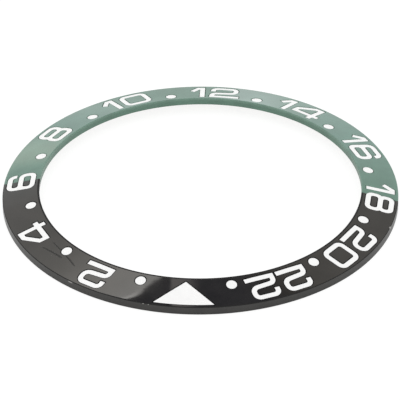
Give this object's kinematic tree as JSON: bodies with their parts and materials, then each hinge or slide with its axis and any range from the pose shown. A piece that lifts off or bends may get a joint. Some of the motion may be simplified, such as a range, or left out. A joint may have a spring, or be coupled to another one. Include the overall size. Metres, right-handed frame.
{
  "type": "watch bezel insert",
  "caption": "Thin dished ceramic ring for a rotating watch bezel, half black and half green, with white filled 24 hour numerals, dots and a triangle.",
  "frame": {"origin": "on the ring's axis, in the plane of the flat seat under the rim", "axes": "+Z along the ring's axis, out of the marked face; +Y towards the triangle of hour 24; hours run clockwise seen from +Z"},
  "size_m": [0.038, 0.038, 0.0017],
  "materials": {
    "black_ceramic": "polished, glossy",
    "green_ceramic": "polished, glossy",
    "white_fill": "satin enamel fill",
    "adhesive_film": "dull, slightly tacky film"
  },
  "bodies": {
    "root": {"day_half": "green_ceramic", "night_half": "black_ceramic", "adhesive_ring": "adhesive_film", "triangle_24": "white_fill", "numeral_2": "white_fill", "numeral_4": "white_fill", "numeral_6": "white_fill", "numeral_8": "white_fill", "numeral_10_tens": "white_fill", "numeral_10_units": "white_fill", "numeral_12_tens": "white_fill", "numeral_12_units": "white_fill", "numeral_14_tens": "white_fill", "numeral_14_units": "white_fill", "numeral_16_tens": "white_fill", "numeral_16_units": "white_fill", "numeral_18_tens": "white_fill", "numeral_18_units": "white_fill", "numeral_20_tens": "white_fill", "numeral_20_units": "white_fill", "numeral_22_tens": "white_fill", "numeral_22_units": "white_fill", "dot_1": "white_fill", "dot_3": "white_fill", "dot_5": "white_fill", "dot_7": "white_fill", "dot_9": "white_fill", "dot_11": "white_fill", "dot_13": "white_fill", "dot_15": "white_fill", "dot_17": "white_fill", "dot_19": "white_fill", "dot_21": "white_fill", "dot_23": "white_fill"}
  },
  "joints": []
}
